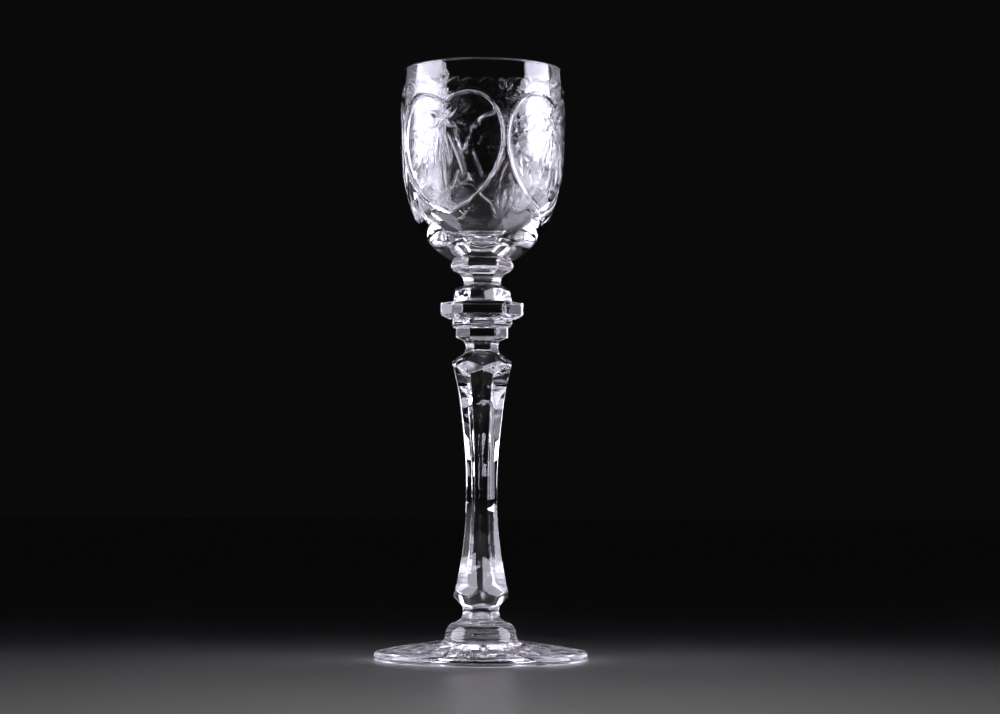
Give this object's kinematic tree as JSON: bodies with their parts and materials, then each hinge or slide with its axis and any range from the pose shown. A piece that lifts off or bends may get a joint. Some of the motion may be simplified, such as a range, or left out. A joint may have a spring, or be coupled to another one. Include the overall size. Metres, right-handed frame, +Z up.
{
  "type": "wine glass",
  "caption": "Cut-crystal wine glass: round engraved bowl on a collar, hexagonal wafers and a slender hexagonal baluster stem, standing on a round foot with a low boss.",
  "frame": {"origin": "on the table, at the middle of the foot", "axes": "+Z up along the stem; a corner of the hexagonal baluster faces -Y, the front"},
  "size_m": [0.0612, 0.0612, 0.17],
  "materials": {
    "bowl_glass": "polished clear crystal with cut and engraved lines",
    "stem_glass": "polished clear crystal, cut to facets",
    "foot_glass": "polished clear crystal, ground where it stands"
  },
  "bodies": {
    "root": {"foot_disc": "foot_glass", "foot_boss": "foot_glass", "stem_baluster": "stem_glass", "base_knop": "stem_glass", "lower_knop": "stem_glass", "wide_knop": "stem_glass", "upper_knop": "stem_glass", "bowl_collar": "stem_glass", "bowl": "bowl_glass"}
  },
  "joints": []
}
